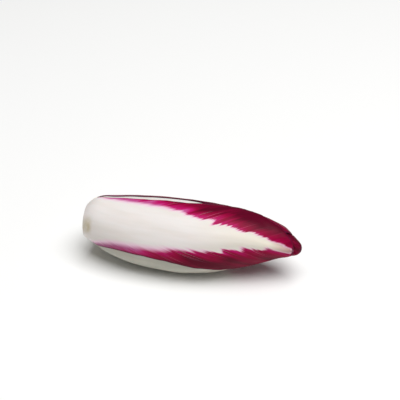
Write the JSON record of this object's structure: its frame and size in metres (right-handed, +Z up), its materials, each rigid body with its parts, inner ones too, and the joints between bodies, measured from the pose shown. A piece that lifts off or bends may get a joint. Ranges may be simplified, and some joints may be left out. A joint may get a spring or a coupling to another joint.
{
  "type": "red belgian endive",
  "caption": "Closed torpedo-shaped head of overlapping white-ribbed leaves with dark red blades, cut flat at the butt, lying on its side.",
  "frame": {"origin": "bottom centre of the bounding box, on the surface the head lies on", "axes": "+X from the cut butt to the tip of the bud, +Z up; the outermost leaf's midrib faces -Y and up"},
  "size_m": [0.148, 0.0504, 0.0485],
  "materials": {
    "outer_leaf": "waxy leaf: white fleshy rib, crimson blade with a soft sheen",
    "inner_leaf": "waxy leaf, mostly crimson, shaded inside the head",
    "stem_flesh": "cut stem flesh, moist cream, slightly browned at the cut",
    "heart_leaf": "pale yellow unopened leaves"
  },
  "bodies": {
    "root": {"leaf_01": "outer_leaf", "leaf_02": "outer_leaf", "leaf_03": "outer_leaf", "leaf_04": "outer_leaf", "leaf_05": "outer_leaf", "leaf_06": "outer_leaf", "leaf_07": "outer_leaf", "leaf_08": "inner_leaf", "leaf_09": "inner_leaf", "leaf_10": "inner_leaf", "leaf_11": "inner_leaf", "leaf_12": "inner_leaf", "core_stem": "stem_flesh", "heart_bud": "heart_leaf"}
  },
  "joints": []
}
